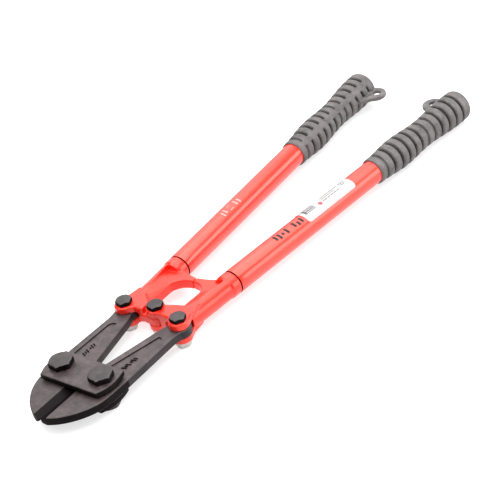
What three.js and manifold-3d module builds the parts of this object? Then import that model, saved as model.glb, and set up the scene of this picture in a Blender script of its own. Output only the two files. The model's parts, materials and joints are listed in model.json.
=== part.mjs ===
// Bolt cutters, 592 mm long: two jaws between two plates, two forged levers, two tubular handles.
// Millimetres, +Z up. The tool lies flat with its jaws towards -Y and its handles towards +Y.
// Shapes are drawn about the "pin line", the line through the two clevis pins, at half the tool's
// height. The whole tool is then moved so that it rests on Z = 0 with its box centred on the origin.
// Every left-hand piece is the mirror image of the right-hand one, apart from the lugs that interleave
// at the centre bolt.

import * as THREE from "three";
import { ConvexGeometry } from "three/addons/geometries/ConvexGeometry.js";
import { mergeVertices } from "three/addons/utils/BufferGeometryUtils.js";
import Module from "manifold-3d";

const wasm = await Module();
wasm.setup();

// ---- driving dimensions -------------------------------------------------------------------------

const PIN_LINE_Y = -140; // the pin line's place once the tool is centred
const MID_HEIGHT = 17.5; // half of the 35 mm overall height

const CLEVIS_X = 33.3; // clevis pins, either side of the middle
const CENTRE_Y = 6.8; // centre bolt, behind the pin line
const JAW_BOLT_X = 24.4; // jaw bolts, either side of the middle
const JAW_BOLT_Y = -96.9;

const TIP_Y = -156;
const EDGE_GAP = 0.2; // half the light gap between the closed cutting edges
const JAW_HALF = 4.2; // half thickness of arms, eyes and blades
const BOSS_HALF = 5.8; // half thickness of the jaws between the plates
const BEVEL_WIDTH = 7.2; // cutting bevel on each face
const EDGE_HALF = 0.25; // half height of the cutting edge's land
const EYE_RADIUS = 10.8;
const POCKET_DEPTH = 1.5;

const PLATE_INNER = 6; // the plates' inner faces, from mid height
const PLATE_OUTER = 11.5;

const LEVER_HALF = 11; // half thickness of ears, ribs and sockets
const RIB_RADIUS = 11.6;
const WEB_HALF = 5; // half thickness of the web at its edge, and of the stops
const FORK_HALF = 4.5; // half of the slot that takes the jaw eye
const TONGUE_HALF = 4.2; // half thickness of the left lever's centre lug
const LUG_RADIUS = 9.5; // lugs round the centre bolt
const EAR_RADIUS = 10;
const STOP_GAP = 0.25; // half the gap between the closed stops

const HANDLE_X = 27.2; // handle axis at the pin line
const HANDLE_ANGLE = THREE.MathUtils.degToRad(4.55);
const TUBE_RADIUS = 12.35;
const TUBE_BORE = 10.35;
const SPIGOT_RADIUS = 10;
const SOCKET_START = 66; // along the handle axis, from the pin line
const TUBE_START = 78.5;
const SPIGOT_END = 112;
const TUBE_END = 429.5;
const GRIP_START = 290;
const GRIP_END = 437;
const GRIP_COLLAR = 9;
const GROOVE_PITCH = 11.25;
const GRIP_BORE = 12.65;
// The grip's outer shape along its axis: a swell for the palm, a waist and a flared end.
const GRIP_SHAPE = [[295, 14.3], [330, 16.6], [371, 14.6], [418, 17.2], [437, 16.9]];
const LOOP_RADIUS = 11.8; // hanging loop on the inner side of each grip
const LOOP_HOLE = 4.6;
const LOOP_HALF = 1.8;

const JAW_BOLT = { shank: 7, hole: 7.2, flats: 21, head: 6, nut: 6 };
const PIN_BOLT = { shank: 5, hole: 5.2, flats: 14.6, head: 4.5, nut: 6.3 };
const CENTRE_HOLE = 7; // the left lever's lug: clearance for the open pivot
const HEX_TURN = -0.12; // how far each hexagon is turned from having a corner towards +X
const FIT = 0.15; // face gap between parts that turn on each other

const SEGMENTS = 20;

// ---- materials ----------------------------------------------------------------------------------

const material = (color, roughness, metalness) =>
  new THREE.MeshStandardMaterial({ color, roughness, metalness });
const redPaint = () => material(0xe5352c, 0.35, 0.1);
const blackSteel = () => material(0x4d4745, 0.5, 0.8);
const zinc = () => material(0xbfc0bd, 0.35, 0.9);
const rubber = () => material(0x4b4848, 0.8, 0);
const nylon = () => material(0xe8e8e2, 0.6, 0);
const paper = () => material(0xf2efee, 0.7, 0);

// ---- solid helpers ------------------------------------------------------------------------------

function toSolid(geometry) {
  const bare = geometry.index ? geometry.toNonIndexed() : geometry.clone();
  bare.deleteAttribute("normal");
  bare.deleteAttribute("uv");
  const merged = mergeVertices(bare, 1e-4);
  return new wasm.Manifold(
    new wasm.Mesh({
      numProp: 3,
      vertProperties: new Float32Array(merged.attributes.position.array),
      triVerts: new Uint32Array(merged.index.array),
    }),
  );
}

function toMesh(solid, name, meshMaterial) {
  const data = solid.getMesh();
  const geometry = new THREE.BufferGeometry();
  geometry.setAttribute("position", new THREE.BufferAttribute(data.vertProperties, 3));
  geometry.setIndex(new THREE.BufferAttribute(data.triVerts, 1));
  geometry.computeVertexNormals();
  const mesh = new THREE.Mesh(geometry, meshMaterial);
  mesh.name = name;
  return mesh;
}

// A flat shape made thick from z0 to z1, its edges rounded by `round`.
function slab(shape, z0, z1, round = 0, steps = 2) {
  const geometry = new THREE.ExtrudeGeometry(shape, {
    depth: z1 - z0 - 2 * round,
    curveSegments: 12,
    bevelEnabled: round > 0,
    bevelThickness: round,
    bevelSize: round,
    bevelOffset: -round,
    bevelSegments: steps,
  });
  geometry.translate(0, 0, z0 + round);
  return toSolid(geometry);
}

// A round bar along Z.
function bar(x, y, radius, z0, z1) {
  const geometry = new THREE.CylinderGeometry(radius, radius, z1 - z0, SEGMENTS);
  geometry.rotateX(Math.PI / 2);
  geometry.translate(x, y, (z0 + z1) / 2);
  return toSolid(geometry);
}

// A turned solid whose axis is local +Y, from [radius, y] pairs.
function turned(profile) {
  const points = profile.map(([radius, y]) => new THREE.Vector2(radius, y));
  return toSolid(new THREE.LatheGeometry(points, SEGMENTS));
}

function polygon(points) {
  return new THREE.Shape(points.map(([x, y]) => new THREE.Vector2(x, y)));
}

function disc(x, y, radius) {
  const shape = new THREE.Shape();
  shape.absarc(x, y, radius, 0, 2 * Math.PI, false);
  return shape;
}

// Turns a solid drawn along local +Y onto the right-hand handle axis.
function onHandle(solid) {
  const place = new THREE.Matrix4().makeRotationZ(-HANDLE_ANGLE);
  place.setPosition(HANDLE_X, 0, 0);
  return solid.transform(place.elements);
}

// A right-hand solid, or its mirror image for the left-hand side.
function sided(solid, side) {
  return side > 0 ? solid : solid.mirror([1, 0, 0]);
}

// ---- jaws ---------------------------------------------------------------------------------------

function jawShape() {
  const shape = new THREE.Shape();
  shape.moveTo(EDGE_GAP, TIP_Y + 1.4);
  shape.quadraticCurveTo(1, TIP_Y - 0.3, 3.5, TIP_Y);
  shape.bezierCurveTo(20, -152, 39.3, -130, 40.4, -110);
  shape.lineTo(41, -82);
  shape.lineTo(39.6, -18);
  shape.quadraticCurveTo(40.2, -10, 41.6, -6.9);
  shape.absarc(CLEVIS_X, 0, EYE_RADIUS, -0.69, 3.45, false);
  shape.lineTo(19.4, -12.4);
  shape.lineTo(EDGE_GAP, -97.5);
  return shape;
}

function jawBossShape() {
  return polygon([
    [1.4, -112], [30, -112.6], [36, -107], [38.2, -97], [36.8, -86], [33, -82.5], [6.4, -82.5],
    [1.4, -97],
  ]);
}

function pocketShape() {
  const shape = new THREE.Shape();
  shape.moveTo(11.5, -76);
  shape.lineTo(34, -76);
  shape.lineTo(33, -27);
  shape.quadraticCurveTo(31.5, -20.5, 26, -21.5);
  return shape;
}

// The wedge above a cutting bevel; the same shape turned over makes the lower one.
function bevelWedge() {
  const wedge = polygon([
    [-1, EDGE_HALF], [EDGE_GAP, EDGE_HALF], [BEVEL_WIDTH, JAW_HALF], [BEVEL_WIDTH, BOSS_HALF + 2],
    [-1, BOSS_HALF + 2],
  ]);
  const geometry = new THREE.ExtrudeGeometry(wedge, { depth: 46, bevelEnabled: false });
  geometry.rotateX(Math.PI / 2);
  geometry.translate(0, -112, 0);
  return toSolid(geometry);
}

function jaw() {
  let solid = slab(jawShape(), -JAW_HALF, JAW_HALF, 0.6, 1);
  solid = solid.add(slab(jawBossShape(), -BOSS_HALF, BOSS_HALF));
  const wedge = bevelWedge();
  solid = solid.subtract(wedge).subtract(wedge.mirror([0, 0, 1]));
  const pocket = slab(pocketShape(), JAW_HALF - POCKET_DEPTH, JAW_HALF + 1);
  solid = solid.subtract(pocket).subtract(pocket.mirror([0, 0, 1]));
  solid = solid.subtract(bar(JAW_BOLT_X, JAW_BOLT_Y, JAW_BOLT.hole, -20, 20));
  return solid.subtract(bar(CLEVIS_X, 0, PIN_BOLT.hole, -20, 20));
}

// ---- jaw plates ---------------------------------------------------------------------------------

function plateShape() {
  const shape = new THREE.Shape();
  shape.moveTo(-34, -116);
  shape.lineTo(34, -116);
  shape.lineTo(37.4, -108);
  shape.quadraticCurveTo(41, -95, 35.4, -79.5);
  shape.lineTo(-35.4, -79.5);
  shape.quadraticCurveTo(-41, -95, -37.4, -108);
  return shape;
}

function jawPlate(z0, z1) {
  let solid = slab(plateShape(), z0, z1, 0.5, 1);
  for (const side of [-1, 1]) {
    solid = solid.subtract(bar(side * JAW_BOLT_X, JAW_BOLT_Y, JAW_BOLT.hole, -20, 20));
  }
  return solid;
}

// ---- levers -------------------------------------------------------------------------------------

// Ear and front body at full thickness; `inner` closes the outline towards the centre bolt.
function earShape(inner) {
  const shape = new THREE.Shape();
  shape.moveTo(24.2, 21);
  inner.forEach(([x, y]) => shape.lineTo(x, y));
  shape.lineTo(21, -1.2);
  shape.absarc(CLEVIS_X, 0, EAR_RADIUS, 3.6, 2 * Math.PI + 0.35, false);
  shape.lineTo(39, 12);
  shape.lineTo(37, 27);
  shape.lineTo(31, 27);
  return shape;
}

// The rib along the lever's outer side continues the round of the handle.
function rib() {
  const bar = onHandle(turned([[0, 8], [RIB_RADIUS, 8], [RIB_RADIUS, 70], [0, 70]]));
  const keep = polygon([[31, 4], [60, 4], [60, 74], [35.5, 74], [34.6, 62], [31, 44]]);
  return bar.intersect(slab(keep, -20, 20));
}

function webShape() {
  const shape = new THREE.Shape();
  shape.moveTo(38, 10);
  shape.lineTo(39, 72);
  shape.lineTo(24, 74);
  shape.quadraticCurveTo(19, 70.5, 10, 68);
  shape.lineTo(STOP_GAP, 66);
  shape.lineTo(STOP_GAP, 60);
  shape.quadraticCurveTo(11, 59.5, 15.5, 53);
  shape.quadraticCurveTo(18, 50, 18, 45);
  shape.lineTo(18, 12);
  return shape;
}

// The slope from the ear and the rib down to the web, on both faces.
function slope() {
  const upper = [
    [18.2, 15, 5], [24, 15, 10.8], [35, 15, 10.8], [33, 42, 9.6], [34.5, 63, 5.2], [19, 48, 5],
  ];
  const points = upper.flatMap(([x, y, z]) => [
    new THREE.Vector3(x, y, z),
    new THREE.Vector3(x, y, -z),
  ]);
  return toSolid(new ConvexGeometry(points));
}

// The slot between the ears, wide enough for the eye to swing outwards as the jaws open.
function forkShape() {
  const shape = new THREE.Shape();
  shape.moveTo(60, 20);
  shape.lineTo(41, 11);
  shape.absarc(CLEVIS_X, 0, 13.4, 0.96, 2.9, false);
  shape.lineTo(16.5, -0.2);
  shape.lineTo(16.5, -30);
  shape.lineTo(60, -30);
  return shape;
}

// The round neck that meets the tube, and the spigot pressed into it.
function socket() {
  return onHandle(
    turned([
      [0, SOCKET_START], [11, SOCKET_START], [TUBE_RADIUS, SOCKET_START + 3],
      [TUBE_RADIUS, TUBE_START - 0.4], [SPIGOT_RADIUS, TUBE_START - 0.4], [SPIGOT_RADIUS, SPIGOT_END],
      [0, SPIGOT_END],
    ]),
  );
}

function leverBody(innerOutline) {
  let solid = slab(earShape(innerOutline), -LEVER_HALF, LEVER_HALF, 1, 1);
  solid = solid.add(rib());
  solid = solid.add(slab(webShape(), -WEB_HALF, WEB_HALF, 0.8, 1));
  solid = solid.add(slope());
  solid = solid.add(socket());
  solid = solid.subtract(slab(forkShape(), -FORK_HALF, FORK_HALF));
  return solid.subtract(bar(CLEVIS_X, 0, PIN_BOLT.hole, -20, 20));
}

// Right lever: a lug above and a lug below, either side of the left lever's.
function rightLever() {
  const neck = [[14.7, 18], [6, 14.2], [6, -0.6]];
  let solid = leverBody(neck);
  const lug = slab(disc(0, CENTRE_Y, LUG_RADIUS), -LEVER_HALF, LEVER_HALF, 0.6, 1);
  solid = solid.add(lug);
  const gap = TONGUE_HALF + FIT;
  solid = solid.subtract(slab(disc(0, CENTRE_Y, LUG_RADIUS + 2.3), -gap, gap));
  return solid.subtract(bar(0, CENTRE_Y, PIN_BOLT.hole, -20, 20));
}

// Left lever, drawn right-handed: its middle lug and the room cut for the other lever's lugs.
function leftLever() {
  const shoulder = [[22, 18.5], [13, 12], [11, 0], [13, -1.2]];
  let solid = leverBody(shoulder);
  const room = slab(disc(0, CENTRE_Y, LUG_RADIUS + 2.3), TONGUE_HALF, LEVER_HALF + 1);
  solid = solid.subtract(room).subtract(room.mirror([0, 0, 1]));
  const relief = polygon([[22.6, 4.1], [16.8, 6.6], [8, 8], [8, -6], [22.6, -6]]);
  solid = solid.subtract(slab(relief, -LEVER_HALF - 1, -TONGUE_HALF));
  const tongue = new THREE.Shape();
  tongue.absarc(0, CENTRE_Y, LUG_RADIUS, 1.75, 4.6, false);
  tongue.lineTo(16, -0.6);
  tongue.lineTo(20, 4);
  tongue.lineTo(20, 20);
  solid = solid.add(slab(tongue, -TONGUE_HALF, TONGUE_HALF, 0.5, 1));
  return solid.subtract(bar(0, CENTRE_Y, CENTRE_HOLE, -20, 20));
}

// ---- handles ------------------------------------------------------------------------------------

function handleTube() {
  return onHandle(
    turned([
      [TUBE_BORE, TUBE_START], [TUBE_RADIUS, TUBE_START], [TUBE_RADIUS, TUBE_END],
      [TUBE_BORE, TUBE_END], [TUBE_BORE, TUBE_START],
    ]),
  );
}

// Outer radius of the grip at a distance along its axis, eased from one key section to the next.
function gripRadius(along) {
  const last = GRIP_SHAPE.length - 2;
  const key = Math.min(last, GRIP_SHAPE.filter(([place]) => place <= along).length - 1);
  const [from, low] = GRIP_SHAPE[key];
  const [to, high] = GRIP_SHAPE[key + 1];
  const turn = Math.PI * ((along - from) / (to - from));
  return low + ((high - low) * (1 - Math.cos(turn))) / 2;
}

function gripProfile() {
  const rings = 11;
  const front = GRIP_START + GRIP_COLLAR;
  const profile = [[GRIP_BORE, GRIP_START], [13.8, GRIP_START], [14.1, front - 1]];
  for (let i = 0; i < rings; i += 1) {
    const groove = front + i * GROOVE_PITCH;
    const radius = gripRadius(groove + GROOVE_PITCH / 2);
    profile.push([radius - 1.2, groove], [radius, groove + 1], [radius, groove + GROOVE_PITCH - 1]);
  }
  const lastGroove = front + rings * GROOVE_PITCH;
  const rim = gripRadius(GRIP_END);
  profile.push([rim - 1.2, lastGroove], [rim, lastGroove + 1], [rim, GRIP_END - 3.4]);
  profile.push([rim - 2.4, GRIP_END - 0.7], [0, GRIP_END]);
  profile.push([0, TUBE_END + 0.6], [GRIP_BORE, TUBE_END + 0.6], [GRIP_BORE, GRIP_START]);
  return profile;
}

// Flat tab with a round eye, moulded in one with the grip.
function hangingLoop() {
  const shape = new THREE.Shape();
  shape.absarc(37.4, 424, LOOP_RADIUS, 1.1, 4.4, false);
  shape.lineTo(47, 398);
  shape.lineTo(50, 398);
  shape.lineTo(50, 433);
  const hole = new THREE.Path();
  hole.absarc(36.6, 425.2, LOOP_HOLE, 0, 2 * Math.PI, false);
  shape.holes.push(hole);
  return slab(shape, -LOOP_HALF, LOOP_HALF, 0.6, 1);
}

function grip() {
  const bore = [
    [0, GRIP_START - 5], [GRIP_BORE, GRIP_START - 5], [GRIP_BORE, TUBE_END + 0.6], [0, TUBE_END + 0.6],
  ];
  const loop = hangingLoop().subtract(onHandle(turned(bore)));
  return onHandle(turned(gripProfile())).add(loop);
}

// Thin sticker wrapped over the upper inner side of the right tube.
function label() {
  const inner = TUBE_RADIUS + 0.3;
  const outer = inner + 0.25;
  const from = THREE.MathUtils.degToRad(36);
  const to = THREE.MathUtils.degToRad(150);
  const shape = new THREE.Shape();
  shape.absarc(0, 0, outer, from, to, false);
  shape.absarc(0, 0, inner, to, from, true);
  const geometry = new THREE.ExtrudeGeometry(shape, { depth: 72, curveSegments: 12, bevelEnabled: false });
  geometry.rotateX(Math.PI / 2);
  geometry.translate(0, 254, 0);
  return onHandle(toSolid(geometry));
}

// ---- fasteners ----------------------------------------------------------------------------------

function hexShape(x, y, flats) {
  const corner = flats / Math.sqrt(3);
  const points = [];
  for (let i = 0; i < 6; i += 1) {
    const angle = (Math.PI / 3) * i + HEX_TURN;
    points.push([x + corner * Math.cos(angle), y + corner * Math.sin(angle)]);
  }
  return polygon(points);
}

function hexBolt(x, y, size, headBottom, shankEnd) {
  const head = slab(hexShape(x, y, size.flats), headBottom, headBottom + size.head, 0.6, 1);
  return head.add(bar(x, y, size.shank, shankEnd, headBottom + 1));
}

// A hexagon nut whose top face is at `top`.
function hexNut(x, y, size, top, height) {
  const nut = slab(hexShape(x, y, size.flats), top - height, top, 0.6, 1);
  return nut.subtract(bar(x, y, size.hole, -40, 40));
}

// A nut with a turned collar that holds a nylon ring.
function lockNut(x, y, size, top) {
  const collar = bar(x, y, size.flats / 2 - 0.3, top - size.nut, top - 2);
  const nut = slab(hexShape(x, y, size.flats), top - size.nut + 1.8, top, 0.4, 1).add(collar);
  const seat = bar(x, y, size.hole + 1.4, top - size.nut - 1, top - size.nut + 1.6);
  return nut.subtract(seat).subtract(bar(x, y, size.hole, -40, 40));
}

function lockRing(x, y, size, top) {
  const z0 = top - size.nut + 0.3;
  return bar(x, y, size.hole + 1.1, z0, z0 + 1).subtract(bar(x, y, size.hole, -40, 40));
}

// ---- assembly -----------------------------------------------------------------------------------

const tool = new THREE.Group();
tool.position.set(0, PIN_LINE_Y, MID_HEIGHT);

function place(solid, name, meshMaterial) {
  tool.add(toMesh(solid, name, meshMaterial));
}

place(jawPlate(PLATE_INNER, PLATE_OUTER), "top_jaw_plate", blackSteel());
place(jawPlate(-PLATE_OUTER, -PLATE_INNER), "bottom_jaw_plate", blackSteel());
place(sided(leftLever(), -1), "left_lever", redPaint());
place(rightLever(), "right_lever", redPaint());

for (const [name, side] of [["left", -1], ["right", 1]]) {
  const bx = side * JAW_BOLT_X;
  const px = side * CLEVIS_X;
  const jawBoltEnd = -PLATE_OUTER - JAW_BOLT.nut + 0.3;
  const pinEnd = -LEVER_HALF - PIN_BOLT.nut + 0.6;
  place(sided(jaw(), side), `${name}_jaw`, blackSteel());
  place(hexBolt(bx, JAW_BOLT_Y, JAW_BOLT, PLATE_OUTER, jawBoltEnd), `${name}_jaw_bolt`, blackSteel());
  place(hexNut(bx, JAW_BOLT_Y, JAW_BOLT, -PLATE_OUTER, JAW_BOLT.nut), `${name}_jaw_nut`, blackSteel());
  place(hexBolt(px, 0, PIN_BOLT, LEVER_HALF, pinEnd), `${name}_clevis_bolt`, blackSteel());
  place(lockNut(px, 0, PIN_BOLT, -LEVER_HALF), `${name}_clevis_nut`, zinc());
  place(lockRing(px, 0, PIN_BOLT, -LEVER_HALF), `${name}_clevis_nut_ring`, nylon());
  place(sided(handleTube(), side), `${name}_handle_tube`, redPaint());
  place(sided(grip(), side), `${name}_grip`, rubber());
}

const centreEnd = -LEVER_HALF - PIN_BOLT.nut + 0.6;
place(hexBolt(0, CENTRE_Y, PIN_BOLT, LEVER_HALF, centreEnd), "centre_bolt", blackSteel());
place(lockNut(0, CENTRE_Y, PIN_BOLT, -LEVER_HALF), "centre_nut", zinc());
place(lockRing(0, CENTRE_Y, PIN_BOLT, -LEVER_HALF), "centre_nut_ring", nylon());
place(label(), "size_label", paper());

export default tool;
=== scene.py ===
"""Bolt cutters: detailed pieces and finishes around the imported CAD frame. Metres, +Z up."""
import json
import math

import bmesh
import bpy
from mathutils import Matrix, Vector, noise


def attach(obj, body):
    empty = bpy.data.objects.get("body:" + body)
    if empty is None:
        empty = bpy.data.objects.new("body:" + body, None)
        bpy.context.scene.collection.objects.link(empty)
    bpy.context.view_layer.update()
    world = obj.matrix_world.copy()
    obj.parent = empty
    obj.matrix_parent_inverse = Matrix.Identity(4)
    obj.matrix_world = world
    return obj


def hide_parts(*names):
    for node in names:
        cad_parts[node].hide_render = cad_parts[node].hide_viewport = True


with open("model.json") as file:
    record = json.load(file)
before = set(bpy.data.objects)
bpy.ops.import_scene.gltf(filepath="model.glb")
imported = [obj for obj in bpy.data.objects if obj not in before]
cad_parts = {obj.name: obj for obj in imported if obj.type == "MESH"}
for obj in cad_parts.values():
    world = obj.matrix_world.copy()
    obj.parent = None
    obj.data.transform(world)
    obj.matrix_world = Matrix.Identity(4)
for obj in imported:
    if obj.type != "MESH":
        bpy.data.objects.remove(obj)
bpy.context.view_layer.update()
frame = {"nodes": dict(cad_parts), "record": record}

MM = 0.001
BODY_OF = {
    node: body
    for body, nodes in frame["record"]["behaviour"]["bodies"].items()
    for node in nodes
}
SIDES = (("left", -1), ("right", 1))

# ---- the frame's own measures, in millimetres --------------------------------------------------

PIN_LINE_Y = -140.0
MID_Z = 17.5
HANDLE_X = 27.2
HANDLE_ANGLE = math.radians(4.55)
TUBE_RADIUS = 12.35
TUBE_BORE = 10.35
TUBE_START = 78.5
TUBE_END = 429.5
GRIP_START = 290.0
GRIP_END = 437.0
GRIP_BORE = 12.45
CLEVIS_X = 33.3
CENTRE_Y = 6.8
JAW_BOLT_X = 24.4
JAW_BOLT_Y = -96.9
PLATE_OUTER = 11.5
LEVER_HALF = 11.0
JAW_BOLT = {"shank": 7.0, "hole": 7.1, "flats": 21.0, "head": 6.0, "nut": 6.0, "face": 10.55}
PIN_BOLT = {"shank": 5.0, "hole": 5.1, "flats": 14.6, "head": 4.5, "nut": 6.3, "face": 7.1}


def handle_point(side, along, radius, angle):
    """A point round a handle's axis: angle 0 is its outer side, a quarter turn is its top."""
    lx = radius * math.cos(angle)
    x = HANDLE_X + lx * math.cos(HANDLE_ANGLE) + along * math.sin(HANDLE_ANGLE)
    y = -lx * math.sin(HANDLE_ANGLE) + along * math.cos(HANDLE_ANGLE)
    return Vector((side * x, y + PIN_LINE_Y, radius * math.sin(angle) + MID_Z)) * MM


# ---- materials ---------------------------------------------------------------------------------


def shade(tone, factor):
    """The same colour, darker or lighter."""
    return tuple(factor * c for c in tone)


class Finish:
    """A Principled material whose patterns come from the piece's own coordinates."""

    def __init__(self, name, roughness, **sockets):
        self.material = bpy.data.materials.new(name)
        self.material.use_nodes = True
        self.tree = self.material.node_tree
        self.shader = self.tree.nodes["Principled BSDF"]
        self.place = self.add("ShaderNodeTexCoord").outputs["Object"]
        self.shader.inputs["Roughness"].default_value = roughness
        for key, value in sockets.items():
            self.shader.inputs[key.replace("_", " ")].default_value = value

    def add(self, kind, **values):
        """A new node of this kind, with its settings."""
        node = self.tree.nodes.new(kind)
        for key, value in values.items():
            setattr(node, key, value)
        return node

    def wire(self, output, target):
        self.tree.links.new(output, target)

    def noise(self, scale, detail=4.0, roughness=0.55, stretch=None):
        """Cloudy noise, its features about 1 / scale metres wide."""
        node = self.add("ShaderNodeTexNoise")
        node.inputs["Scale"].default_value = scale
        node.inputs["Detail"].default_value = detail
        node.inputs["Roughness"].default_value = roughness
        place = self.place
        if stretch:
            mapping = self.add("ShaderNodeMapping")
            mapping.inputs["Scale"].default_value = stretch
            self.wire(place, mapping.inputs["Vector"])
            place = mapping.outputs["Vector"]
        self.wire(place, node.inputs["Vector"])
        return node.outputs["Fac"]

    def cells(self, scale):
        node = self.add("ShaderNodeTexVoronoi", feature="F1")
        node.inputs["Scale"].default_value = scale
        self.wire(self.place, node.inputs["Vector"])
        return node.outputs["Distance"]

    def ramp(self, value, stops):
        node = self.add("ShaderNodeValToRGB")
        band = node.color_ramp
        while len(band.elements) < len(stops):
            band.elements.new(0.5)
        for element, (position, color) in zip(band.elements, stops):
            element.position = position
            element.color = (*color, 1.0)
        self.wire(value, node.inputs["Fac"])
        return node.outputs["Color"]

    def span(self, value, low, high):
        """The value, from 0 to 1, mapped to the range from low to high."""
        node = self.add("ShaderNodeMapRange")
        self.wire(value, node.inputs["Value"])
        node.inputs["To Min"].default_value = low
        node.inputs["To Max"].default_value = high
        return node.outputs["Result"]

    def mix(self, factor, a, b):
        node = self.add("ShaderNodeMix", data_type="RGBA")
        self.wire(factor, node.inputs["Factor"])
        for socket, value in ((node.inputs[6], a), (node.inputs[7], b)):
            if isinstance(value, tuple):
                socket.default_value = (*value, 1.0)
            else:
                self.wire(value, socket)
        return node.outputs[2]

    def color(self, output):
        self.wire(output, self.shader.inputs["Base Color"])

    def rough(self, output):
        self.wire(output, self.shader.inputs["Roughness"])

    def bumps(self, *layers):
        """Layers of relief, each (height, distance in millimetres), the finest last."""
        normal = None
        for height, distance in layers:
            node = self.add("ShaderNodeBump")
            node.inputs["Distance"].default_value = distance * MM
            self.wire(height, node.inputs["Height"])
            if normal is not None:
                self.wire(normal, node.inputs["Normal"])
            normal = node.outputs["Normal"]
        self.wire(normal, self.shader.inputs["Normal"])


def red_paint(name, cast):
    """Glossy enamel; over a casting it shows the forged skin beneath."""
    finish = Finish(
        name,
        0.34,
        Specular_IOR_Level=0.4 if cast else 0.6,
        Specular_Tint=(1.0, 0.93, 0.76, 1.0),
        Coat_Weight=0.3 if cast else 0.35,
        Coat_Roughness=0.12,
    )
    tone = finish.ramp(
        finish.noise(38, 5),
        [(0.3, (0.70, 0.013, 0.006)), (0.7, (0.80, 0.022, 0.010))],
    )
    specks = finish.ramp(finish.noise(900, 2), [(0.62, (0, 0, 0)), (0.8, (1, 1, 1))])
    finish.color(finish.mix(specks, tone, (0.60, 0.012, 0.008)))
    finish.rough(finish.span(finish.noise(120, 4), 0.24, 0.36))
    peel = finish.noise(620, 2, 0.4)
    if cast:
        finish.bumps((finish.noise(170, 6, 0.65), 0.22), (peel, 0.04))
    else:
        finish.bumps((finish.noise(60, 2), 0.03), (peel, 0.015))
    return finish.material


def black_steel(name, tone, rough, gloss):
    """Black-oxide forged steel: mottled, finely grained, rubbed lighter in places."""
    finish = Finish(name, rough, Specular_IOR_Level=gloss)
    mottle = finish.ramp(
        finish.noise(110, 9, 0.72),
        [(0.34, shade(tone, 0.4)), (0.52, tone), (0.7, shade(tone, 1.8))],
    )
    rubbed = finish.ramp(
        finish.noise(240, 6, 0.7, (1, 0.25, 1)), [(0.6, (0, 0, 0)), (0.85, (0.5, 0.5, 0.5))]
    )
    warm = (tone[0] * 1.9, tone[1] * 1.75, tone[2] * 1.6)
    finish.color(finish.mix(rubbed, mottle, warm))
    finish.rough(finish.span(finish.noise(180, 6, 0.6), rough - 0.1, rough + 0.12))
    finish.bumps((finish.noise(320, 6, 0.7), 0.11), (finish.noise(1500, 3, 0.6), 0.03))
    return finish.material


def ground_and_shaded_edge(name, tone):
    """The bevels: ground across the blade, and near-black with almost no gloss as painted shade."""
    finish = Finish(name, 0.34, Specular_IOR_Level=0.06)
    lines = finish.noise(300, 3, 0.6, (0.3, 5, 1))
    finish.color(finish.ramp(lines, [(0.3, shade(tone, 0.7)), (0.7, tone)]))
    finish.rough(finish.span(lines, 0.3, 0.46))
    finish.bumps((lines, 0.015))
    return finish.material


def zinc_plate():
    """Bright plating on the lock nuts."""
    finish = Finish("zinc_plate", 0.3, Metallic=0.85)
    finish.color(
        finish.ramp(finish.noise(160, 6), [(0.3, (0.38, 0.36, 0.34)), (0.7, (0.56, 0.54, 0.51))])
    )
    finish.rough(finish.span(finish.noise(300, 4), 0.24, 0.42))
    finish.bumps((finish.noise(900, 3), 0.01))
    return finish.material


def nylon_ring():
    """Off-white nylon of the locking rings."""
    finish = Finish("nylon_ring", 0.5)
    finish.color(
        finish.ramp(finish.noise(200, 3), [(0.3, (0.70, 0.70, 0.63)), (0.7, (0.84, 0.84, 0.78))])
    )
    finish.bumps((finish.noise(1200, 2), 0.01))
    return finish.material


def grip_rubber(name, tone, gloss):
    """Moulded rubber: matt, dusty, with a fine spark-eroded grain."""
    finish = Finish(name, 0.6, Specular_IOR_Level=gloss)
    cloud = finish.ramp(
        finish.noise(90, 7, 0.7), [(0.34, shade(tone, 0.5)), (0.66, shade(tone, 1.45))]
    )
    dust = finish.ramp(finish.noise(700, 5, 0.7), [(0.45, (0, 0, 0)), (0.75, (0.5, 0.5, 0.5))])
    finish.color(finish.mix(dust, cloud, shade(tone, 2.6)))
    finish.rough(finish.span(finish.noise(400, 4), 0.5, 0.72))
    finish.bumps((finish.noise(130, 3), 0.06), (finish.cells(1500), 0.035))
    return finish.material


def plain_print(name, low, high, rough):
    """Printed film or ink, between two close tones."""
    finish = Finish(name, rough, Specular_IOR_Level=0.3)
    finish.color(finish.ramp(finish.noise(500, 4), [(0.35, low), (0.65, high)]))
    finish.rough(finish.span(finish.noise(300, 3), rough - 0.06, rough + 0.08))
    finish.bumps((finish.noise(900, 2), 0.006))
    return finish.material


PAINT_FORGED = red_paint("red_paint_forged", True)
PAINT_TUBE = red_paint("red_paint_tube", False)
JAW_STEEL = black_steel("jaw_steel", (0.042, 0.028, 0.030), 0.44, 0.5)
# Painted shade: a near-black, almost glossless copy of the steel, for upright faces that stand in
# shade.
SHADED_SIDE_STEEL = black_steel("shaded_side_steel", (0.006, 0.004, 0.0045), 0.5, 0.05)
# Painted shade: a darker, less glossy copy of the jaw steel for the arms' upright faces.
ARM_SHADED_SIDE = black_steel("arm_shaded_side_steel", (0.018, 0.012, 0.014), 0.46, 0.25)
BOLT_STEEL = black_steel("bolt_steel", (0.028, 0.020, 0.021), 0.42, 0.45)
# Painted shade: the bevels are near-black and almost glossless.
SHADED_EDGE_STEEL = ground_and_shaded_edge("shaded_edge_steel", (0.007, 0.004, 0.005))
ZINC = zinc_plate()
NYLON = nylon_ring()
RUBBER = grip_rubber("grip_rubber", (0.086, 0.076, 0.077), 0.5)
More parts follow.
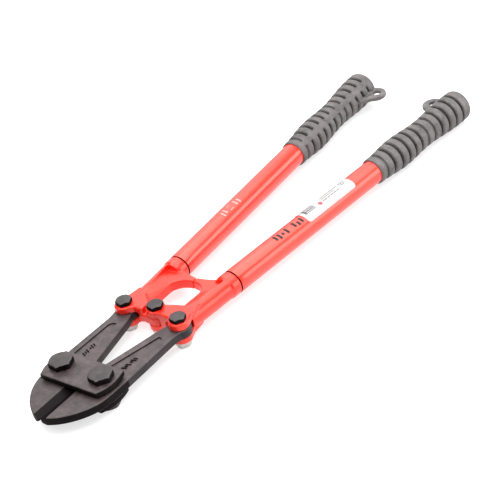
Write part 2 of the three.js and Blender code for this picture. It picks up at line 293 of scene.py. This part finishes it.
# Painted shade: a darker, less glossy copy of the grip rubber for the groove bottoms.
SHADED_GROOVE_RUBBER = grip_rubber("shaded_groove_rubber", (0.020, 0.017, 0.018), 0.15)
FILM = plain_print("label_film", (0.40, 0.39, 0.39), (0.46, 0.45, 0.45), 0.42)
GREY_INK = plain_print("grey_ink", (0.05, 0.045, 0.046), (0.08, 0.075, 0.077), 0.5)
RED_INK = plain_print("red_ink", (0.34, 0.05, 0.07), (0.40, 0.07, 0.09), 0.5)
DARK_INK = plain_print("dark_ink", (0.012, 0.008, 0.008), (0.040, 0.028, 0.026), 0.6)
WHITE_INK = plain_print("white_ink", (0.40, 0.24, 0.23), (0.52, 0.34, 0.32), 0.45)

# ---- pieces ------------------------------------------------------------------------------------


def new_piece(name, mesh, material, node=None, body=None, sharp=28):
    """Puts a mesh in the scene, to replace a CAD node or as a small addition to a body.

    The material is for a mesh that has none yet.
    """
    piece = bpy.data.objects.new(name, mesh)
    bpy.context.scene.collection.objects.link(piece)
    if not len(mesh.materials):
        mesh.materials.append(material)
    mark_sharp(mesh, sharp)
    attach(piece, body or BODY_OF[node])
    if node:
        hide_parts(node)
    return piece


def mark_sharp(mesh, degrees):
    """Smooth shading, broken at the edges that turn by more than this."""
    bm = bmesh.new()
    bm.from_mesh(mesh)
    limit = math.radians(degrees)
    for face in bm.faces:
        face.smooth = True
    for edge in bm.edges:
        if len(edge.link_faces) == 2:
            edge.smooth = edge.calc_face_angle(0.0) < limit
    bm.to_mesh(mesh)
    bm.free()


def to_mesh(bm, name):
    mesh = bpy.data.meshes.new(name)
    bm.to_mesh(mesh)
    bm.free()
    return mesh


def grid_mesh(name, rings, around=True, loop=False, cap_start=False, cap_end=False):
    """Quads between rings of points.

    around closes each ring, loop joins the last ring to the first, and the caps close the ends.
    """
    bm = bmesh.new()
    rows = [[bm.verts.new(point) for point in ring] for ring in rings]
    pairs = list(zip(rows, rows[1:])) + ([(rows[-1], rows[0])] if loop else [])
    for low, high in pairs:
        count = len(low)
        for i in range(count if around else count - 1):
            j = (i + 1) % count
            bm.faces.new((low[i], low[j], high[j], high[i]))
    if cap_start:
        bm.faces.new(rows[0][::-1])
    if cap_end:
        bm.faces.new(rows[-1])
    bmesh.ops.recalc_face_normals(bm, faces=bm.faces)
    return to_mesh(bm, name)


WELD_DISTANCE = 0.001 * MM


def cad_copy(node):
    """The CAD node's shape as one welded mesh."""
    bm = bmesh.new()
    bm.from_mesh(frame["nodes"][node].data)
    bmesh.ops.remove_doubles(bm, verts=bm.verts, dist=WELD_DISTANCE)
    bmesh.ops.recalc_face_normals(bm, faces=bm.faces)
    return bm


def applied(mesh, *modifiers):
    """The mesh after the given modifiers, each (type, {settings})."""
    holder = bpy.data.objects.new("holder", mesh)
    bpy.context.scene.collection.objects.link(holder)
    for kind, settings in modifiers:
        modifier = holder.modifiers.new(kind, kind)
        for key, value in settings.items():
            setattr(modifier, key, value)
    graph = bpy.context.evaluated_depsgraph_get()
    result = bpy.data.meshes.new_from_object(holder.evaluated_get(graph))
    bpy.data.objects.remove(holder)
    result.materials.clear()
    return result


# ---- levers: forged, every edge rounded ----------------------------------------------------------

FORGED_VOXEL = 0.55 * MM
SKIN_WAVE = 0.07 * MM
BROAD_WAVES = 70.0
FINE_WAVES = 190.0


def forged(node):
    """The CAD solid with every edge rounded and a slightly uneven skin."""
    solid = to_mesh(cad_copy(node), node + "_forged")
    mesh = applied(
        solid,
        ("REMESH", {"mode": "VOXEL", "voxel_size": FORGED_VOXEL}),
        ("SMOOTH", {"factor": 0.5, "iterations": 7}),
    )
    normals = [vertex.normal.copy() for vertex in mesh.vertices]
    for vertex, normal in zip(mesh.vertices, normals):
        fine = noise.noise(vertex.co * FINE_WAVES)
        vertex.co += normal * (SKIN_WAVE * (noise.noise(vertex.co * BROAD_WAVES) + 0.4 * fine))
    return mesh


for side_name, _ in SIDES:
    node = side_name + "_lever"
    new_piece(node + "_forged", forged(node), PAINT_FORGED, node, sharp=75)

# ---- jaws and plates: crisp faces, broken edges --------------------------------------------------


FLAT_ANGLE = math.radians(0.6)
BLADE_HALF = 8.0
BEVEL_REAR = PIN_LINE_Y - 106.0
BLADE_REAR = PIN_LINE_Y - 81.0


def edge_bevel(width, segments, degrees):
    """Settings of a bevel on the edges that turn by more than this."""
    return {
        "width": width * MM,
        "segments": segments,
        "limit_method": "ANGLE",
        "angle_limit": math.radians(degrees),
    }


def broken_edges(node, width):
    """The CAD solid with its edges broken by a small rounded bevel."""
    bm = cad_copy(node)
    bmesh.ops.dissolve_limit(
        bm, angle_limit=FLAT_ANGLE, verts=bm.verts, edges=bm.edges, delimit={"NORMAL"}
    )
    bevel = edge_bevel(width, 3, 26)
    return applied(to_mesh(bm, node + "_edges"), ("BEVEL", bevel), ("TRIANGULATE", {}))


def is_bevel(face):
    """True on the sloping faces beside the cutting edge."""
    near = abs(face.center.x) < BLADE_HALF * MM and face.center.y < BEVEL_REAR * MM
    return near and 0.5 < abs(face.normal.z) < 0.97


def is_side(face):
    """True on the faces that stand nearly upright."""
    return abs(face.normal.z) < 0.4


def is_blade_side(face):
    """The blades' rims, forward of the plates' rear corners."""
    return is_side(face) and face.center.y < BLADE_REAR * MM


def finish_faces(mesh, *choices):
    """Gives each face the last finish whose test it passes; the first has no test."""
    for index, (material, test) in enumerate(choices):
        mesh.materials.append(material)
        for face in mesh.polygons:
            if test is None or test(face):
                face.material_index = index


for side_name, _ in SIDES:
    node = side_name + "_jaw"
    mesh = broken_edges(node, 0.35)
    # Painted shade: the bevels, the arms' upright faces and the blades' rims take darker, less
    # glossy copies of the jaw steel.
    finish_faces(
        mesh,
        (JAW_STEEL, None),
        (SHADED_EDGE_STEEL, is_bevel),
        (ARM_SHADED_SIDE, is_side),
        (SHADED_SIDE_STEEL, is_blade_side),
    )
    new_piece(node + "_forged", mesh, JAW_STEEL, node, sharp=24)

for node in ("top_jaw_plate", "bottom_jaw_plate"):
    mesh = broken_edges(node, 0.5)
    # Painted shade: the plates' upright faces take the near-black steel.
    finish_faces(mesh, (JAW_STEEL, None), (SHADED_SIDE_STEEL, is_side))
    new_piece(node + "_pressed", mesh, JAW_STEEL, node, sharp=24)

# ---- raised dashes on the jaw arms ---------------------------------------------------------------

POCKET_FLOOR = MID_Z + 2.7
POCKET_X = 25.2
POCKET_Y = -62.0
POCKET_LEAN = 0.05
DASH_HEIGHT = 0.7
DASH_SUNK = 0.1
DASH_HALF = 0.7
DASH_DRAFT = 0.12
DASH_SLANT = 0.35
DASHES = ((-69.5, 5.0), (-66.7, 3.2), (-63.9, 5.0), (-59.9, 2.4), (-57.1, 5.0), (-54.3, 3.8))


def dash_ring(side, y, half, thick, z):
    """The four corners of a dash at one height."""
    middle = POCKET_X + POCKET_LEAN * (y - POCKET_Y)
    ring = []
    for dx, dy in ((-half, -thick), (half, -thick), (half, thick), (-half, thick)):
        x = side * (middle + dx)
        ring.append(Vector((x, y + DASH_SLANT * dx + dy + PIN_LINE_Y, z + POCKET_FLOOR)) * MM)
    return ring


def dash_mesh(name, side):
    """Short raised bars across the arm, on the floor of its pocket; plain marks, no lettering."""
    bm = bmesh.new()
    for y, length in DASHES:
        base = dash_ring(side, y, length / 2, DASH_HALF, -DASH_SUNK)
        crest = dash_ring(side, y, length / 2 - DASH_DRAFT, DASH_HALF - DASH_DRAFT, DASH_HEIGHT)
        bm.from_mesh(grid_mesh("dash", [base, crest], cap_start=True, cap_end=True))
    return to_mesh(bm, name)


for side_name, side in SIDES:
    name = side_name + "_jaw_dashes"
    # The raised dashes take the near-black painted-shade steel.
    new_piece(name, dash_mesh(name, side), SHADED_SIDE_STEEL, None, side_name + "_jaw")

# ---- fasteners -----------------------------------------------------------------------------------

TURN_STEPS = 72
HEX_TURN = -0.12
CORNER_SHARE = 0.568
CHAMFER_SLOPE = 0.58
CHAMFER_DROP = 0.12
POINT_CHAMFER = 0.8
THREAD_TURNS = 6
THREAD_PITCH = 1.0
THREAD_DEPTH = 0.55


def level_radius(shape, angle):
    """A round level's radius, or a hexagon's in this direction, its corners turned down."""
    if not isinstance(shape, tuple):
        return shape
    flats, inset = shape
    local = (angle - HEX_TURN) % (math.pi / 3) - math.pi / 6
    return min(flats / 2 / math.cos(local), flats * CORNER_SHARE) - inset


def fastener_mesh(name, x, y, levels, **ends):
    """Rings about a vertical axis. A level is (radius, z), or ((flats, inset), z) if hexagonal."""
    rings = []
    for shape, z in levels:
        ring = []
        for i in range(TURN_STEPS):
            angle = HEX_TURN + 2 * math.pi * i / TURN_STEPS
            radius = level_radius(shape, angle)
            around = (radius * math.cos(angle), radius * math.sin(angle))
            ring.append(Vector((x + around[0], y + PIN_LINE_Y + around[1], z + MID_Z)) * MM)
        rings.append(ring)
    return grid_mesh(name, rings, **ends)


def chamfer_corners(mesh, x, y, top, circle, up):
    """Brings the hexagon's corners onto a cone outside this circle, as a turned chamfer does."""
    centre = Vector((x, y + PIN_LINE_Y)) * MM
    for vertex in mesh.vertices:
        reach = (vertex.co.xy - centre).length - circle * MM
        if reach > 0:
            limit = (top + MID_Z) * MM - up * reach * CHAMFER_SLOPE
            if up * (vertex.co.z - limit) > 0:
                vertex.co.z = limit


def bolt_mesh(name, x, y, size, under, shank_end):
    """Shank with a short thread, a washer face, and a hexagon head with a round top face."""
    flats, shank, circle = size["flats"], size["shank"], size["face"]
    top = under + size["head"]
    hexagon = (flats, 0.0)
    thread = shank_end + POINT_CHAMFER
    levels = [(shank - POINT_CHAMFER, shank_end), (shank, thread)]
    for _ in range(THREAD_TURNS):
        levels.append((shank - THREAD_DEPTH, thread + THREAD_PITCH / 2))
        thread += THREAD_PITCH
        levels.append((shank, thread))
    levels += [
        (shank, under),
        (flats * 0.47, under),
        (flats * 0.48, under + 0.3),
        ((flats, 0.35), under + 0.3),
        (hexagon, under + 0.6),
        (hexagon, top - 1.6),
        (hexagon, top - 0.8),
        (hexagon, top),
        (circle + 0.25, top - CHAMFER_DROP),
        (circle - 0.2, top),
        (circle * 0.6, top),
    ]
    mesh = fastener_mesh(name, x, y, levels, cap_start=True, cap_end=True)
    chamfer_corners(mesh, x, y, top - CHAMFER_DROP, circle + 0.25, 1)
    return mesh


def nut_mesh(name, x, y, size, top, collar):
    """A plain hexagon nut, or one with a round collar that holds a locking ring."""
    flats = size["flats"]
    bore = size["hole"]
    low = top - size["nut"]
    hexagon = (flats, 0.0)
    rest_face = flats * 0.475
    levels = [
        (bore, top - 0.5),
        (bore + 0.5, top),
        (flats * 0.47, top),
        ((flats, 0.35), top - 0.25),
        (hexagon, top - 0.6),
    ]
    if collar:
        rim = flats / 2 - 0.3
        base = low + 2.0
        levels += [
            (hexagon, base + 0.7),
            ((flats, 0.25), base + 0.2),
            (rim + 0.15, base),
            (rim, base - 0.4),
            (rim - 0.12, low + 0.9),
            (rim - 0.5, low + 0.3),
            (rim - 1.1, low),
            (bore + 1.6, low),
            (bore + 1.3, low + 0.25),
            (bore + 1.3, low + 1.6),
            (bore, low + 1.6),
        ]
    else:
        levels += [
            (hexagon, low + 0.9),
            (hexagon, low),
            (rest_face, low),
            (bore + 0.7, low),
            (bore, low + 0.6),
        ]
    mesh = fastener_mesh(name, x, y, levels, loop=True)
    if not collar:
        chamfer_corners(mesh, x, y, low, rest_face, -1)
    return mesh


def ring_mesh(name, x, y, size, top):
    """The locking ring in a nut's collar."""
    low = top - size["nut"] + 0.3
    hole = size["hole"]
    levels = [
        (hole, low + 0.2),
        (hole + 0.25, low),
        (hole + 0.9, low),
        (hole + 1.1, low + 0.2),
        (hole + 1.1, low + 1.0),
        (hole, low + 1.0),
    ]
    return fastener_mesh(name, x, y, levels, loop=True)


def add_bolt(node, x, y, size, under, shank_end):
    mesh = bolt_mesh(node + "_turned", x, y, size, under, shank_end)
    # Painted shade: the bolt's upright flats and shank take the near-black steel.
    finish_faces(mesh, (BOLT_STEEL, None), (SHADED_SIDE_STEEL, is_side))
    new_piece(node + "_turned", mesh, BOLT_STEEL, node)


def add_lock_nut(node, x, y, top):
    mesh = nut_mesh(node + "_turned", x, y, PIN_BOLT, top, True)
    new_piece(node + "_turned", mesh, ZINC, node)
    ring = ring_mesh(node + "_ring_turned", x, y, PIN_BOLT, top)
    new_piece(node + "_ring_turned", ring, NYLON, node + "_ring")


PIN_END = -LEVER_HALF - PIN_BOLT["nut"] + 0.6
JAW_END = -PLATE_OUTER - JAW_BOLT["nut"] + 0.3

for side_name, side in SIDES:
    jx, px = side * JAW_BOLT_X, side * CLEVIS_X
    add_bolt(side_name + "_jaw_bolt", jx, JAW_BOLT_Y, JAW_BOLT, PLATE_OUTER, JAW_END)
    nut = nut_mesh(side_name + "_jaw_nut_turned", jx, JAW_BOLT_Y, JAW_BOLT, -PLATE_OUTER, False)
    new_piece(nut.name, nut, BOLT_STEEL, side_name + "_jaw_nut")
    add_bolt(side_name + "_clevis_bolt", px, 0.0, PIN_BOLT, LEVER_HALF, PIN_END)
    add_lock_nut(side_name + "_clevis_nut", px, 0.0, -LEVER_HALF)
add_bolt("centre_bolt", 0.0, CENTRE_Y, PIN_BOLT, LEVER_HALF, PIN_END)
add_lock_nut("centre_nut", 0.0, CENTRE_Y, -LEVER_HALF)

# ---- handles -------------------------------------------------------------------------------------

TUBE_STEPS = 96
TUBE_SECTIONS = 40
TUBE_MIDDLE = (TUBE_START + TUBE_END) / 2
JOINT_GAP = 0.8


def handle_rings(side, profile, steps):
    """Rings round a handle's axis, one for each (radius, along)."""
    return [
        [handle_point(side, along, radius, 2 * math.pi * i / steps) for i in range(steps)]
        for radius, along in profile
    ]


def tube_profile():
    """(radius, along) from the bore's front edge, over the outside, to the bore's rear edge."""
    front = TUBE_START + JOINT_GAP
    outer = [
        (TUBE_BORE, front + 0.5),
        (TUBE_BORE + 0.4, front),
        (TUBE_RADIUS - 0.5, front),
        (TUBE_RADIUS - 0.15, front + 0.15),
        (TUBE_RADIUS, front + 0.6),
    ]
    for i in range(1, TUBE_SECTIONS):
        outer.append((TUBE_RADIUS, front + 0.6 + (TUBE_END - front - 1.2) * i / TUBE_SECTIONS))
    outer += [(TUBE_RADIUS, TUBE_END - 0.4), (TUBE_BORE, TUBE_END)]
    return outer


def is_cut_end(face):
    """The sawn front end of a tube, given the near-black steel as painted shade in its narrow gap
    behind the socket.
    """
    return abs(face.normal.y) > 0.7 and face.center.y < (PIN_LINE_Y + TUBE_MIDDLE) * MM


for side_name, side in SIDES:
    node = side_name + "_handle_tube"
    rings = handle_rings(side, tube_profile(), TUBE_STEPS)
    mesh = grid_mesh(node + "_drawn", rings, loop=True)
    finish_faces(mesh, (PAINT_TUBE, None), (SHADED_SIDE_STEEL, is_cut_end))
    new_piece(node + "_drawn", mesh, PAINT_TUBE, node, sharp=40)

# ---- grips ---------------------------------------------------------------------------------------

GRIP_RINGS = 11
GRIP_COLLAR = 9.0
GROOVE_PITCH = 11.25
GROOVE_WIDTH = 4.8
GROOVE_DEPTH = 2.2
CROWN = 0.45
GRIP_SHAPE = ((295.0, 14.3), (330.0, 16.6), (371.0, 14.6), (418.0, 17.2), (437.0, 16.9))
COLLAR_RADIUS = 14.1
COLLAR_STATIONS = (-5.0, -3.2, -2.2, -1.9, -1.6, -1.2, -0.9, -0.4)
HALF_RING = (0.0, 0.04, 0.08, 0.11, 0.14, 0.17, 0.2, 0.3, 0.5)
RING_SHARES = HALF_RING + tuple(1 - share for share in HALF_RING[-2:0:-1])
END_STATIONS = (0.0, 0.4, 0.9, 1.2, 1.6, 1.9, 2.3, 4.0, 7.0)
END_INSET = 0.1
END_CORNER = 4.2
CORNER_STEPS = 8
BAND_ANGLE = math.radians(135)
BAND_HALF = math.radians(12)
GRIP_STEPS = 120


def smooth_step(low, high, value):
    t = min(1.0, max(0.0, (value - low) / (high - low)))
    return t * t * (3 - 2 * t)


def grip_radius(along):
    """The grip's outer radius, eased from one key section to the next: swell, waist and flare."""
    for (start, low), (end, high) in zip(GRIP_SHAPE, GRIP_SHAPE[1:]):
        if along <= end:
            break
    eased = (1 - math.cos(math.pi * (along - start) / (end - start))) / 2
    return low + (high - low) * eased


def groove_cut(away):
    """How deep the groove is, from 1 in its middle to 0 at its edge."""
    return 1 - smooth_step(0.45, 1.0, abs(away) / (GROOVE_WIDTH / 2))


def grip_outline():
    """(along, full radius, groove share) from the bore's end, round the front lip, to the rear."""
    rows = [(TUBE_END + 0.6, GRIP_BORE, 0.0), (GRIP_START + 0.4, GRIP_BORE, 0.0)]
    for back, radius in ((0.0, 12.75), (0.15, 13.4), (0.7, 13.8)):
        rows.append((GRIP_START + back, radius, 0.0))
    front = GRIP_START + GRIP_COLLAR
    for away in COLLAR_STATIONS:
        rows.append((front + away, COLLAR_RADIUS, groove_cut(away)))
    for ring in range(GRIP_RINGS):
        for share in RING_SHARES:
            along = front + (ring + share) * GROOVE_PITCH
            cut = groove_cut(min(share, 1 - share) * GROOVE_PITCH)
            rows.append((along, grip_radius(along) - CROWN * (1 - math.sin(math.pi * share)), cut))
    last = front + GRIP_RINGS * GROOVE_PITCH
    for away in END_STATIONS:
        rows.append((last + away, grip_radius(last + away) - END_INSET, groove_cut(away)))
    end = GRIP_END - END_CORNER
    rim = grip_radius(GRIP_END) - END_INSET - END_CORNER
    for i in range(CORNER_STEPS + 1):
        turn = math.pi / 2 * i / CORNER_STEPS
        rows.append((end + END_CORNER * math.sin(turn), rim + END_CORNER * math.cos(turn), 0.0))
    return rows + [(GRIP_END, 9.0, 0.0), (GRIP_END, 4.0, 0.0)]


def band_share(angle):
    """How much of the smooth band covers this direction: 1 in its middle, 0 outside it."""
    away = abs((angle - BAND_ANGLE + math.pi) % (2 * math.pi) - math.pi)
    return 1 - smooth_step(BAND_HALF * 0.7, BAND_HALF * 1.5, away)


def grip_rings(side):
    rings = []
    for along, radius, cut in grip_outline():
        ring = []
        for i in range(GRIP_STEPS):
            angle = 2 * math.pi * i / GRIP_STEPS
            fade = 1 - band_share(angle)
            ring.append(handle_point(side, along, radius - cut * GROOVE_DEPTH * fade, angle))
        rings.append(ring)
    return rings


def paint_groove_shade(mesh):
    """Gives the bottoms of the grooves a darker, less glossy rubber as painted shade, outside the
    smooth band.
    """
    cuts = [cut for _, _, cut in grip_outline()]
    for face in mesh.polygons:
        row, step = divmod(face.index, GRIP_STEPS)
        open_groove = band_share(2 * math.pi * (step + 0.5) / GRIP_STEPS) < 0.4
        if row < len(cuts) - 1 and cuts[row] + cuts[row + 1] > 1.1 and open_groove:
            face.material_index = 1


LOOP_CENTRE = (37.4, 424.0)
LOOP_RADIUS = 11.8
LOOP_FROM, LOOP_TO = 1.1, 4.4
LOOP_STEPS = 24
LOOP_ROOT = [(40.5, 406.5), (46.5, 398.0), (50.0, 398.0), (50.0, 433.0)]
LOOP_HALF = 2.2
EYE_CENTRE = (36.6, 425.2)
EYE_RADIUS = 4.5
EYE_STEPS = 28


def arc_points(centre, radius, angles):
    return [(centre[0] + radius * math.cos(a), centre[1] + radius * math.sin(a)) for a in angles]


def loop_outline():
    """The hanging tab's outer edge, in the tool's own plane, drawn on the right-hand side."""
    turns = [LOOP_FROM + (LOOP_TO - LOOP_FROM) * i / LOOP_STEPS for i in range(LOOP_STEPS + 1)]
    return arc_points(LOOP_CENTRE, LOOP_RADIUS, turns) + LOOP_ROOT


def loop_mesh(side):
    """Flat tab with a rounded rim and a round eye."""
    bm = bmesh.new()
    turns = [2 * math.pi * i / EYE_STEPS for i in range(EYE_STEPS)]
    edges = []
    for points in (loop_outline(), arc_points(EYE_CENTRE, EYE_RADIUS, turns)):
        corners = [bm.verts.new((x, y, -LOOP_HALF)) for x, y in points]
        edges += [bm.edges.new(pair) for pair in zip(corners, corners[1:] + corners[:1])]
    bmesh.ops.triangle_fill(bm, edges=edges, use_beauty=True)
    grown = bmesh.ops.extrude_face_region(bm, geom=bm.faces[:])
    for item in grown["geom"]:
        if isinstance(item, bmesh.types.BMVert):
            item.co.z = LOOP_HALF
    bmesh.ops.recalc_face_normals(bm, faces=bm.faces)
    for vertex in bm.verts:
        x, y, z = vertex.co
        vertex.co = Vector((side * x, y + PIN_LINE_Y, z + MID_Z)) * MM
    if side < 0:
        bmesh.ops.reverse_faces(bm, faces=bm.faces)
    flat = to_mesh(bm, "loop")
    return applied(flat, ("BEVEL", edge_bevel(1.3, 4, 50)), ("TRIANGULATE", {}))


def grip_mesh(name, side):
    """The ribbed sleeve as one closed skin, and the loop that grows out of it."""
    mesh = grid_mesh(name, grip_rings(side), cap_start=True, cap_end=True)
    mesh.materials.append(RUBBER)
    mesh.materials.append(SHADED_GROOVE_RUBBER)
    paint_groove_shade(mesh)
    bm = bmesh.new()
    bm.from_mesh(mesh)
    bm.from_mesh(loop_mesh(side))
    bm.to_mesh(mesh)
    bm.free()
    return mesh


for side_name, side in SIDES:
    node = side_name + "_grip"
    mesh = grip_mesh(node + "_moulded", side)
    new_piece(node + "_moulded", mesh, RUBBER, node, sharp=50)

# ---- sticker and printed marks -------------------------------------------------------------------


FILM_THICKNESS = 0.09
LEAST_SIDE = 0.01


def corner_inset(near, corner):
    """How far a patch with rounded corners draws in, this near to its end."""
    if near >= corner:
        return 0.0
    return corner - math.sqrt(max(0.0, corner**2 - (corner - near) ** 2))


def patch_rows(side, start, length, first_angle, width, radius, corner, counts):
    """Rows of points on a tube, along its axis and then round it."""
    rows, columns = counts
    corner = min(corner, width / 2 - LEAST_SIDE, length / 2 - LEAST_SIDE)
    points = []
    for i in range(rows + 1):
        along = length * i / rows
        inset = corner_inset(min(along, length - along), corner)
        row = []
        for j in range(columns + 1):
            across = inset + (width - 2 * inset) * j / columns
            row.append(handle_point(side, start + along, radius, first_angle + across / radius))
        points.append(row)
    return points


def face_outward(mesh, outward):
    """Turns an open patch over if its middle faces inward."""
    if mesh.polygons[len(mesh.polygons) // 2].normal.dot(outward) < 0:
        mesh.flip_normals()


def tube_patch(name, side, span, angles, lift, inks, pick, corner, cell):
    """A thin film wrapped on a tube, with rounded corners; pick(along, across) says which ink."""
    start, end = span
    first_angle, last_angle = (math.radians(angle) for angle in angles)
    radius = TUBE_RADIUS + lift
    length, width = end - start, radius * (last_angle - first_angle)
    rows, columns = max(2, round(length / cell)), max(2, round(width / cell))
    points = patch_rows(
        side, start, length, first_angle, width, radius, corner, (rows, columns)
    )
    mesh = grid_mesh(name, points, around=False)
    middle, facing = start + length / 2, (first_angle + last_angle) / 2
    face_outward(
        mesh, handle_point(side, middle, 1.0, facing) - handle_point(side, middle, 0.0, 0.0)
    )
    film = applied(mesh, ("SOLIDIFY", {"thickness": FILM_THICKNESS * MM, "offset": -1.0}))
    for ink in inks:
        film.materials.append(ink)
    for face in film.polygons:
        if face.index < 2 * rows * columns:
            row, column = divmod(face.index % (rows * columns), columns)
            across = width * (column + 0.5) / columns
            face.material_index = pick(length * (row + 0.5) / rows, across)
    return film


PLAIN, GREY, RED = 0, 1, 2
STICKER_LIFT = 0.42
BAR_LIFT = 0.14
PRINTED_LINES = ((30, 56), (30, 50), (32, 58), (30, 46))
FIRST_LINE = 9.5
LINE_PITCH = 3.0
LINE_HALF = 0.55


def sticker_ink(along, across):
    """Generic marks: a grey block, a small red spot, broken grey lines and an open ring."""
    if 4 < along < 19 and 9 < across < 20:
        return GREY if int(across * 0.9) % 2 == 0 or along < 6.5 else PLAIN
    if (along - 26) ** 2 + (across - FIRST_LINE) ** 2 < 5.5:
        return RED
    for line, (low, high) in enumerate(PRINTED_LINES):
        on_line = abs(across - FIRST_LINE - LINE_PITCH * line) < LINE_HALF
        if on_line and low < along < high and int(along * (1.1 + line)) % 5:
            return GREY
    gap = math.hypot(along - 63, across - 14)
    return GREY if 2.6 < gap < 3.3 or gap < 1.0 else PLAIN


STICKER_INKS = (FILM, GREY_INK, RED_INK)
label = tube_patch(
    "label_film", 1, (182, 254), (36, 150), STICKER_LIFT, STICKER_INKS, sticker_ink, 3.5, 0.5
)
new_piece("size_label_printed", label, FILM, "size_label", sharp=60)


def whole_patch(along, across):
    return PLAIN


def printed_bars(prefix, side, body, ink, bars):
    """Plain printed bars on a tube, each (start, end, first angle, last angle)."""
    for index, (start, end, first, last) in enumerate(bars):
        name = f"{prefix}_{index}"
        mesh = tube_patch(
            name, side, (start, end), (first, last), BAR_LIFT, (ink,), whole_patch, 0.8, 1.0
        )
        new_piece(name, mesh, ink, None, body)


printed_bars(
    "white_mark", -1, "left_lever", WHITE_INK,
    [(155, 157, 90, 122), (160, 162, 84, 116), (166, 172, 88, 92), (166, 172, 114, 118),
     (177, 179, 86, 120), (182, 184, 92, 124)],
)
printed_bars(
    "black_mark", 1, "right_lever", DARK_INK,
    [(139.5, 142.5, 62, 98), (144.5, 147.5, 56, 94), (149.5, 152.5, 66, 84), (155, 158, 58, 96),
     (166, 169, 60, 96), (171, 174, 54, 82), (176, 179, 58, 92)],
)

# ---- floor, light and camera ---------------------------------------------------------------------

FLOOR_GLOW = 0.68
FLOOR_SIZE = 6.0
FLOOR_Z = -0.2 * MM


def floor_finish():
    """Pale and faintly glowing, so that the ground stays white round the tool."""
    finish = Finish("pale_floor", 0.7)
    finish.color(
        finish.ramp(finish.noise(3, 3), [(0.3, (0.40, 0.40, 0.40)), (0.7, (0.42, 0.42, 0.42))])
    )
    finish.shader.inputs["Emission Color"].default_value = (1, 1, 1, 1)
    finish.shader.inputs["Emission Strength"].default_value = FLOOR_GLOW
    return finish.material


def make_floor():
    bm = bmesh.new()
    bmesh.ops.create_grid(bm, x_segments=8, y_segments=8, size=FLOOR_SIZE / 2)
    for vertex in bm.verts:
        vertex.co.z = FLOOR_Z
    mesh = to_mesh(bm, "floor")
    mesh.materials.append(floor_finish())
    floor = bpy.data.objects.new("floor", mesh)
    bpy.context.scene.collection.objects.link(floor)


def soft_light(name, place, aim, size, power):
    """A white panel light at this place, turned to the aim; its size is (width, height)."""
    lamp = bpy.data.lights.new(name, "AREA")
    lamp.shape = "RECTANGLE"
    lamp.size, lamp.size_y = size
    lamp.energy = power
    holder = bpy.data.objects.new(name, lamp)
    holder.location = place
    holder.rotation_euler = (Vector(aim) - Vector(place)).to_track_quat("-Z", "Y").to_euler()
    bpy.context.scene.collection.objects.link(holder)


def set_world(color, strength):
    world = bpy.data.worlds.new("studio")
    world.use_nodes = True
    background = world.node_tree.nodes["Background"]
    background.inputs["Color"].default_value = (*color, 1)
    background.inputs["Strength"].default_value = strength
    bpy.context.scene.world = world


CAMERA_PLACE = Vector((1.00297, -1.00784, 0.91652))
CAMERA_AIM = Vector((0.01556, -0.01133, MID_Z * MM))
CAMERA_ROLL = math.radians(-13.067)
LENS = 124.65
SENSOR_WIDTH = 36.0


def set_camera():
    """Looks down along the handles from the jaws' side, rolled a little about its own axis."""
    data = bpy.data.cameras.new("camera")
    data.lens = LENS
    data.sensor_width = SENSOR_WIDTH
    camera = bpy.data.objects.new("camera", data)
    upright = (CAMERA_AIM - CAMERA_PLACE).to_track_quat("-Z", "Y").to_matrix().to_4x4()
    roll = Matrix.Rotation(CAMERA_ROLL, 4, "Z")
    camera.matrix_world = Matrix.Translation(CAMERA_PLACE) @ upright @ roll
    bpy.context.scene.collection.objects.link(camera)
    bpy.context.scene.camera = camera


make_floor()
soft_light("overhead", (0.1, 0.0, 2.0), (0, 0, 0), (3.8, 3.2), 158)
soft_light("back", (-1.6, 1.6, 1.2), (0, 0, 0), (2.6, 1.4), 20)
soft_light("right", (1.75, 1.7, 0.62), (0, 0.1, 0), (2.5, 1.15), 44)
set_world((0.96, 0.97, 1.0), 0.18)
bpy.context.scene.view_settings.view_transform = "Standard"
set_camera()
